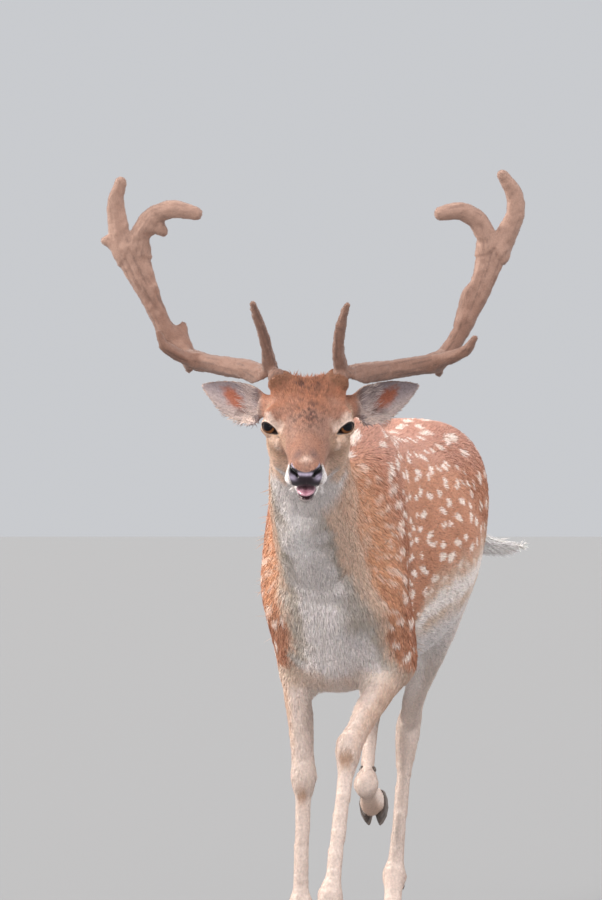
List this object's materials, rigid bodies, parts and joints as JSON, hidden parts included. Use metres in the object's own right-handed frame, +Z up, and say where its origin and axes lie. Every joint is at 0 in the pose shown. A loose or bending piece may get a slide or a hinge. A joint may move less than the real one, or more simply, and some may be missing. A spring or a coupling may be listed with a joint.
{
  "type": "fallow deer",
  "caption": "Life-size fallow buck in spotted summer coat with antlers in velvet, walking with its head raised, one hind foot lifted and the tongue showing.",
  "frame": {"origin": "middle of the bounding box, on the floor under the buck", "axes": "+Z up, the buck walks towards -Y, its left side is +X; +Y runs from nose to tail"},
  "size_m": [0.6388, 1.5048, 1.2171],
  "materials": {
    "chestnut_coat": "short summer hair, chestnut with white spots",
    "fawn_coat": "short fawn hair, paler towards the throat and inside the ears",
    "pale_coat": "very short cream hair of the legs and chin",
    "velvet": "tan velvet skin over growing antler",
    "horn": "dark horn with a low sheen",
    "eye": "wet dark brown eye",
    "tongue": "moist mauve pink tongue"
  },
  "bodies": {
    "root": {"antler_left_beam": "velvet", "antler_left_brow_tine": "velvet", "antler_left_front_tine": "velvet", "antler_left_palm": "velvet", "antler_left_top_tine": "velvet", "antler_left_trez_tine": "velvet", "antler_right_beam": "velvet", "antler_right_brow_tine": "velvet", "antler_right_front_tine": "velvet", "antler_right_palm": "velvet", "antler_right_top_tine": "velvet", "antler_right_trez_tine": "velvet", "dewclaw_foreleg_left_left": "horn", "dewclaw_foreleg_left_right": "horn", "dewclaw_foreleg_right_left": "horn", "dewclaw_foreleg_right_right": "horn", "dewclaw_hindleg_left_left": "horn", "dewclaw_hindleg_left_right": "horn", "dewclaw_hindleg_right_left": "horn", "dewclaw_hindleg_right_right": "horn", "ear_left": "fawn_coat", "ear_right": "fawn_coat", "eye_left": "eye", "eye_right": "eye", "foreleg_left_lower": "pale_coat", "foreleg_left_upper": "pale_coat", "foreleg_right_lower": "pale_coat", "foreleg_right_upper": "pale_coat", "head": "chestnut_coat", "hindleg_left_lower": "pale_coat", "hindleg_left_upper": "pale_coat", "hindleg_right_lower": "pale_coat", "hindleg_right_upper": "pale_coat", "hoof_foreleg_left_left": "horn", "hoof_foreleg_left_right": "horn", "hoof_foreleg_right_left": "horn", "hoof_foreleg_right_right": "horn", "hoof_hindleg_left_left": "horn", "hoof_hindleg_left_right": "horn", "hoof_hindleg_right_left": "horn", "hoof_hindleg_right_right": "horn", "lower_jaw": "pale_coat", "neck": "fawn_coat", "tail": "chestnut_coat", "tongue": "tongue", "trunk": "chestnut_coat"}
  },
  "joints": []
}
